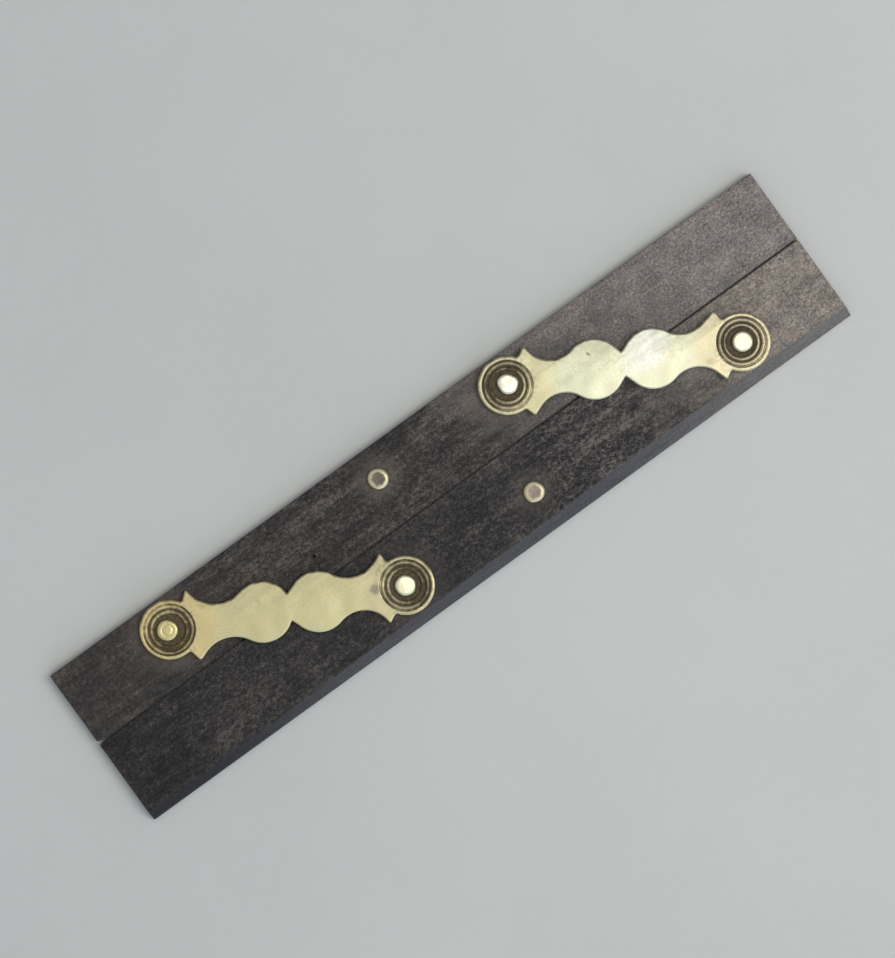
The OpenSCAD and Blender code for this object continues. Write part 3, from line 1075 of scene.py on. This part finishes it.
    rough = k.math("ADD", 0.40, k.math("MULTIPLY", k.math("SUBTRACT", cloud, 0.5), 0.3))
    rough = k.math("SUBTRACT", rough, k.math("MULTIPLY", k.math("SUBTRACT", fleck, 0.5), 0.25))
    rough = k.math("ADD", rough, k.math("MULTIPLY", dry_and_sheen, 0.10))
    rough = k.math("ADD", rough, k.math("MULTIPLY", pits, 0.15))
    rough = k.math("SUBTRACT", rough, k.math("MULTIPLY", calm, 0.04))
    rough = k.math("SUBTRACT", rough, k.math("MULTIPLY", edge, 0.08), clamp=True)
    k.link(rough, k.p.inputs["Roughness"])
    k.p.inputs["IOR"].default_value = 1.38
    height = k.math("ADD", k.math("MULTIPLY", fleck, 0.8), k.math("MULTIPLY", streak, 0.35))
    height = k.math("SUBTRACT", height, pits)
    n1 = k.bump(height, 0.55, 0.00009)
    pebbled = k.math("MULTIPLY", pebble, k.math("ADD", 0.35, k.math("MULTIPLY", dry_and_sheen, 0.65)))
    n2 = k.bump(pebbled, 0.9, 0.00034, n1)
    n3 = k.bump(grit, 0.30, 0.00003, n2)
    k.link(n3, k.p.inputs["Normal"])
    return k.mat


def brass(name, seed, clean_and_lit, stain, pivots=(), marks=(), rough0=0.20, scratch=1.0, flat_tint=None):
    k = Nodes(name)
    flat = k.mm()
    dirt = k.attr("dirt")
    cloud = k.noise(k.mm((0.22, 0.22, 0.22), shift=(seed, 2, 0)), detail=4.0, rough=0.6, distortion=0.3)
    speck = k.noise(k.mm((1.6, 1.6, 1.6), shift=(2, seed, 0)), detail=3.0, rough=0.65)
    grit = k.noise(k.mm((5, 5, 5), shift=(2, seed, 3)), detail=2.0, rough=0.6)
    warm = k.ramp(cloud, 0.45, 0.72)
    # clean_and_lit is the brass's own colour, whitened on some pieces as painted highlight
    col = k.mix(k.math("MULTIPLY", warm, 0.4), clean_and_lit, stain)
    brown = k.ramp(k.math("ADD", dirt, k.math("MULTIPLY", k.math("SUBTRACT", speck, 0.5), 0.35)), 0.08, 0.98, smooth=False)
    for (px, py), tint in pivots:
        d = k.math("ADD", k.dist(flat, (px, py)), k.math("MULTIPLY", k.math("SUBTRACT", cloud, 0.5), 5.0))
        ringed = k.ramp(d, 6.2, 10.5, 1.0, 0.0)
        col = k.mix(k.math("MULTIPLY", ringed, 0.75), col, tint)
        smudge = k.math("MULTIPLY", k.ramp(d, 4.6, 6.3, 1.0, 0.0), k.ramp(speck, 0.42, 0.62))
        col = k.mix(k.math("MULTIPLY", smudge, 0.35), col, (0.30, 0.24, 0.17))
    for (px, py), rx, ry, turn, strength, tint in marks:
        x, y, _ = k.split(flat)
        dx, dy = k.math("SUBTRACT", x, px), k.math("SUBTRACT", y, py)
        u = k.math("ADD", k.math("MULTIPLY", dx, math.cos(turn) / rx), k.math("MULTIPLY", dy, math.sin(turn) / rx))
        v = k.math("ADD", k.math("MULTIPLY", dx, -math.sin(turn) / ry), k.math("MULTIPLY", dy, math.cos(turn) / ry))
        r = k.math("SQRT", k.math("ADD", k.math("MULTIPLY", u, u), k.math("MULTIPLY", v, v)))
        r = k.math("ADD", r, k.math("MULTIPLY", k.math("SUBTRACT", speck, 0.5), 0.9))
        col = k.mix(k.math("MULTIPLY", k.ramp(r, 0.35, 1.0, 1.0, 0.0), strength), col, tint)
    col = k.mix(k.math("MULTIPLY", k.ramp(speck, 0.62, 0.74), 0.08), col, (0.42, 0.33, 0.20))
    if flat_tint:
        flat_col = k.mix(k.ramp(speck, 0.35, 0.65), tuple(c * 0.9 for c in flat_tint), tuple(c * 1.12 for c in flat_tint))
        col = k.mix(k.attr("flat"), col, flat_col)
    turned = k.noise(k.mm((3, 3, 3), shift=(seed, 1, 1)), detail=2.0)
    col = k.mix(k.math("MULTIPLY", brown, 0.97), col, k.mix(k.ramp(turned, 0.35, 0.65), (0.042, 0.028, 0.012), (0.105, 0.074, 0.034)))
    k.link(col, k.p.inputs["Base Color"])
    k.link(k.math("SUBTRACT", 1.0, k.math("MULTIPLY", brown, 0.96)), k.p.inputs["Metallic"])
    k.p.inputs["IOR"].default_value = 1.45
    rough = k.math("ADD", rough0, k.math("MULTIPLY", cloud, 0.14))
    rough = k.math("ADD", rough, k.math("MULTIPLY", k.ramp(grit, 0.4, 0.7), 0.03))
    rough = k.math("ADD", rough, k.math("MULTIPLY", brown, 0.22), clamp=True)
    k.link(rough, k.p.inputs["Roughness"])
    lines = None
    for i, (turn, stretch) in enumerate(((0.35, 14.0), (1.25, 16.0), (-0.75, 13.0))):
        s = k.noise(k.mm((0.35, 0.35 * stretch, 0.35), turn=turn, shift=(seed, i * 7, 0)), detail=2.0, rough=0.7)
        s = k.ramp(s, 0.60, 0.72)
        lines = s if lines is None else k.math("ADD", lines, s)
    n1 = k.bump(lines, 0.02 * scratch, 0.00004)
    n2 = k.bump(k.noise(k.mm((0.16, 0.16, 0.16), shift=(seed, 5, 0)), detail=1.0), 0.22, 0.0006, n1)
    n3 = k.bump(grit, 0.012, 0.00003, n2)
    k.link(n3, k.p.inputs["Normal"])
    return k.mat


def xy(v):
    return (v.x, v.y)


UPPER_HALOS = [(xy(PIVOT["upper_left"]), 5.0, 9.5), (xy(PIVOT["upper_right"]), 5.0, 10.0), (xy(STUD["upper"]), 1.6, 6.5)]
LOWER_HALOS = [(xy(PIVOT["lower_left"]), 5.0, 9.5), (xy(PIVOT["lower_right"]), 5.0, 9.5), (xy(STUD["lower"]), 1.6, 6.0)]
upper.data.materials.clear()
lower.data.materials.clear()
upper.data.materials.append(
    ebony(
        "ebony_upper",
        3.7,
        UPPER_HALOS,
        6.0,
        48.0,
        0.6,
        1.8,
        16.0,
        [(-76.0, 1.05), (-30.0, 0.95), (12.0, 1.15)],
        [(-74.0, 0.62), (-44.0, 0.75), (-28.0, 1.0)],
        0.30,
        (0.86, 1.11),
        [((-26.2, 5.5), 0.5, 0.6, 0.2, 0.95, (0.006, 0.006, 0.007)), ((52.1, 12.6), 0.16, 1.5, 0.15, 0.35, (0.42, 0.39, 0.37)), ((65.4, 2.7), 0.55, 0.35, 0.2, 0.7, (0.06, 0.05, 0.05))],
    )
)
lower.data.materials.append(
    ebony(
        "ebony_lower",
        11.3,
        LOWER_HALOS,
        30.0,
        58.0,
        0.4,
        2.1,
        16.0,
        [(-72.0, 0.42), (-52.0, 0.74), (-4.0, 0.70), (12.0, 0.93), (30.0, 1.25)],
        [(-60.0, 0.95), (6.0, 1.0), (24.0, 1.35)],
        0.24,
        (0.8, 1.24),
        sloped=True,
    )
)


def on_arm(up, down, s, t):
    p0, p1 = PIVOT[up], PIVOT[down]
    e = Vector((p1.x - p0.x, p1.y - p0.y)).normalized()
    m = (p0 + p1) / 2
    return (m.x + e.x * s - e.y * t, m.y + e.y * s + e.x * t)


CLEAN = (0.86, 0.795, 0.455)
STAIN = (0.83, 0.71, 0.37)
BROWN_SPOT = (0.36, 0.25, 0.10)
left.data.materials.append(
    brass(
        "brass_left_arm",
        2.0,
        CLEAN,
        STAIN,
        [(xy(PIVOT["upper_left"]), (0.97, 0.79, 0.38)), (xy(PIVOT["lower_left"]), (0.76, 0.68, 0.41))],
        [
            (on_arm("upper_left", "lower_left", -15.0, 3.1), 1.3, 0.6, -0.9, 0.30, (0.40, 0.34, 0.24)),
            (on_arm("upper_left", "lower_left", 15.7, 0.3), 1.3, 1.3, 0.3, 0.75, (0.30, 0.25, 0.19)),
            (on_arm("upper_left", "lower_left", -4.9, 1.8), 0.5, 1.2, 0.0, 0.22, (0.45, 0.38, 0.25)),
        ],
    )
)
right.data.materials.append(
    brass(
        "brass_right_arm",
        6.0,
        # whiter than the left arm's colours, as painted highlight
        (0.80, 0.79, 0.56),
        (0.78, 0.735, 0.46),
        [(xy(PIVOT["upper_right"]), (0.73, 0.66, 0.38)), (xy(PIVOT["lower_right"]), (0.69, 0.595, 0.37))],
        [
            # the two large pale patches are painted highlights; the spot, scratch and stain after them are real
            (on_arm("upper_right", "lower_right", 4.2, 1.8), 7.0, 5.0, 0.2, 0.8, (0.94, 0.93, 0.82)),
            (on_arm("upper_right", "lower_right", -8.5, -1.2), 5.0, 4.5, 0.3, 0.75, (0.72, 0.75, 0.52)),
            (on_arm("upper_right", "lower_right", -6.05, 2.85), 0.32, 0.65, 0.35, 0.85, BROWN_SPOT),
            (on_arm("upper_right", "lower_right", -8.1, 1.2), 1.8, 0.16, -0.12, 0.45, (0.62, 0.42, 0.22)),
            (on_arm("upper_right", "lower_right", 15.2, -2.4), 1.3, 0.9, -0.5, 0.45, (0.45, 0.36, 0.22)),
        ],
    )
)
# Rivet head colours: the upper left one is the brass's own; the other three are whitened as painted highlight.
HEADS = {
    "upper_left": ((0.89, 0.78, 0.39), (0.86, 0.72, 0.33)),
    "upper_right": ((0.90, 0.87, 0.70), (0.88, 0.83, 0.56)),
    "lower_left": ((0.87, 0.84, 0.58), (0.84, 0.78, 0.48)),
    "lower_right": ((0.86, 0.82, 0.58), (0.83, 0.77, 0.47)),
}
washer_mat = brass("brass_washer", 14.0, (0.70, 0.61, 0.37), (0.55, 0.45, 0.26), rough0=0.36)
FLATS = {"upper": (0.200, 0.170, 0.138), "lower": (0.345, 0.280, 0.235)}
for i_, (k_, ob) in enumerate(RIVETS.items()):
    ob.data.materials.append(brass("brass_rivet_" + k_, 9.0 + i_, *HEADS[k_], rough0=0.17, scratch=0.35))
for k_, ob in WASHERS.items():
    ob.data.materials.append(washer_mat)
for k_, ob in STUDS.items():
    ob.data.materials.append(brass("brass_stud_" + k_, 19.0 + len(k_), (0.90, 0.81, 0.52), (0.80, 0.68, 0.40), rough0=0.26, flat_tint=FLATS[k_]))

# ---------------------------------------------------------------- which body each piece moves with
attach(upper, "upper_limb")
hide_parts("upper_limb")
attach(lower, "lower_limb")
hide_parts("lower_limb")
for ob, node in ((left, "left_arm"), (right, "right_arm")):
    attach(ob, node)
    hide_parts(node)
for table, word in ((RIVETS, "rivet"), (WASHERS, "washer"), (STUDS, "stud")):
    for key, ob in table.items():
        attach(ob, key.split("_")[0] + "_limb")
        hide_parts(word + "_" + key)

# ---------------------------------------------------------------- floor, light and camera
floor = make("floor", [(-4000, -4000, 0), (4000, -4000, 0), (4000, 4000, 0), (-4000, 4000, 0)], [(0, 1, 2, 3)], smooth=False)
floor.location.z = -0.00002
kf = Nodes("floor_grey")
f_cloud = kf.noise(kf.mm((0.012, 0.012, 0.012)), detail=4.0, rough=0.6)
f_fine = kf.noise(kf.mm((0.5, 0.5, 0.5)), detail=3.0, rough=0.6)
f_col = kf.mix(kf.ramp(f_cloud, 0.3, 0.7), (0.610, 0.625, 0.600), (0.645, 0.658, 0.632))
f_col = kf.mix(kf.math("MULTIPLY", kf.ramp(f_fine, 0.35, 0.7), 0.10), f_col, (0.70, 0.71, 0.69))
fx, fy, _ = kf.split(kf.mm())
# painted light: the floor is a little lighter towards the key's side
f_toward_key = kf.math("ADD", kf.math("MULTIPLY", fx, math.cos(math.radians(-35.87))), kf.math("MULTIPLY", fy, math.sin(math.radians(-35.87))))
f_col = kf.scale(f_col, kf.ramp(f_toward_key, -90.0, 90.0, 0.985, 1.055))
kf.link(f_col, kf.p.inputs["Base Color"])
kf.p.inputs["Roughness"].default_value = 0.75
floor.data.materials.append(kf.mat)

scene = bpy.context.scene
scene.view_settings.view_transform = "Standard"
world = bpy.data.worlds.new("studio")
world.use_nodes = True
scene.world = world
wt = world.node_tree
bg = wt.nodes["Background"]
wc = wt.nodes.new("ShaderNodeTexCoord")
ws = wt.nodes.new("ShaderNodeSeparateXYZ")
wr = wt.nodes.new("ShaderNodeMapRange")
wm = wt.nodes.new("ShaderNodeMix")
wm.data_type = "RGBA"
wt.links.new(wc.outputs["Generated"], ws.inputs[0])
wt.links.new(ws.outputs[2], wr.inputs["Value"])
wr.inputs["From Min"].default_value = 0.0
wr.inputs["From Max"].default_value = 0.95
wt.links.new(wr.outputs["Result"], wm.inputs[0])
wm.inputs[6].default_value = (0.21, 0.22, 0.24, 1)
wm.inputs[7].default_value = (0.50, 0.505, 0.515, 1)
# cooler daylight low down on the ruling edge's side
wn = wt.nodes.new("ShaderNodeMath")
wn.operation = "MULTIPLY"
wn.inputs[1].default_value = -1.0
wt.links.new(ws.outputs[1], wn.inputs[0])
wq = wt.nodes.new("ShaderNodeMapRange")
wq.interpolation_type = "SMOOTHSTEP"
wq.inputs["From Min"].default_value = 0.45
wq.inputs["From Max"].default_value = 0.95
wt.links.new(wn.outputs[0], wq.inputs["Value"])
wx = wt.nodes.new("ShaderNodeMix")
wx.data_type = "RGBA"
wt.links.new(wq.outputs["Result"], wx.inputs[0])
wt.links.new(wm.outputs[2], wx.inputs[6])
wx.inputs[7].default_value = (0.90, 1.0, 1.22, 1)
wt.links.new(wx.outputs[2], bg.inputs["Color"])
bg.inputs["Strength"].default_value = 1.0

TILT = math.radians(-35.87)
RIGHT = Vector((math.cos(TILT), math.sin(TILT), 0))
UP = Vector((-math.sin(TILT), math.cos(TILT), 0))


def lamp(name, pos, size, power, colour, target=(0, 0, 0)):
    data = bpy.data.lights.new(name, "AREA")
    data.shape = "RECTANGLE"
    data.size, data.size_y = size
    data.energy = power
    data.color = colour
    ob = bpy.data.objects.new(name, data)
    ob.location = pos
    ob.rotation_mode = "QUATERNION"
    ob.rotation_quaternion = (Vector(target) - Vector(pos)).to_track_quat("-Z", "Y")
    bpy.context.scene.collection.objects.link(ob)
    return ob


# One soft box. Two thirds of its light is kept out of mirrored reflections, so that the brass doesn't glare.
KEY_AT = RIGHT * 0.485 + UP * 0.03 + Vector((0, 0, 0.987))
lamp("key", KEY_AT, (0.42, 0.85), 1.6, (1.0, 0.99, 0.975))
lamp("key_matt", KEY_AT, (0.42, 0.85), 3.1, (1.0, 0.99, 0.975)).visible_glossy = False

cam = bpy.data.cameras.new("camera")
cam_ob = bpy.data.objects.new("camera", cam)
scene.collection.objects.link(cam_ob)
# Nearly straight down, 65 cm above the rule, leaning a little more than two degrees.
cam.sensor_fit = "AUTO"
cam.sensor_width = 36
cam.lens = 137.9
cam_ob.location = (-0.0245, 0.01256, 0.65)
cam_ob.rotation_euler = (math.radians(0.61), math.radians(-2.322), math.radians(-35.861))
cam.clip_start, cam.clip_end = 0.01, 50
scene.camera = cam_ob
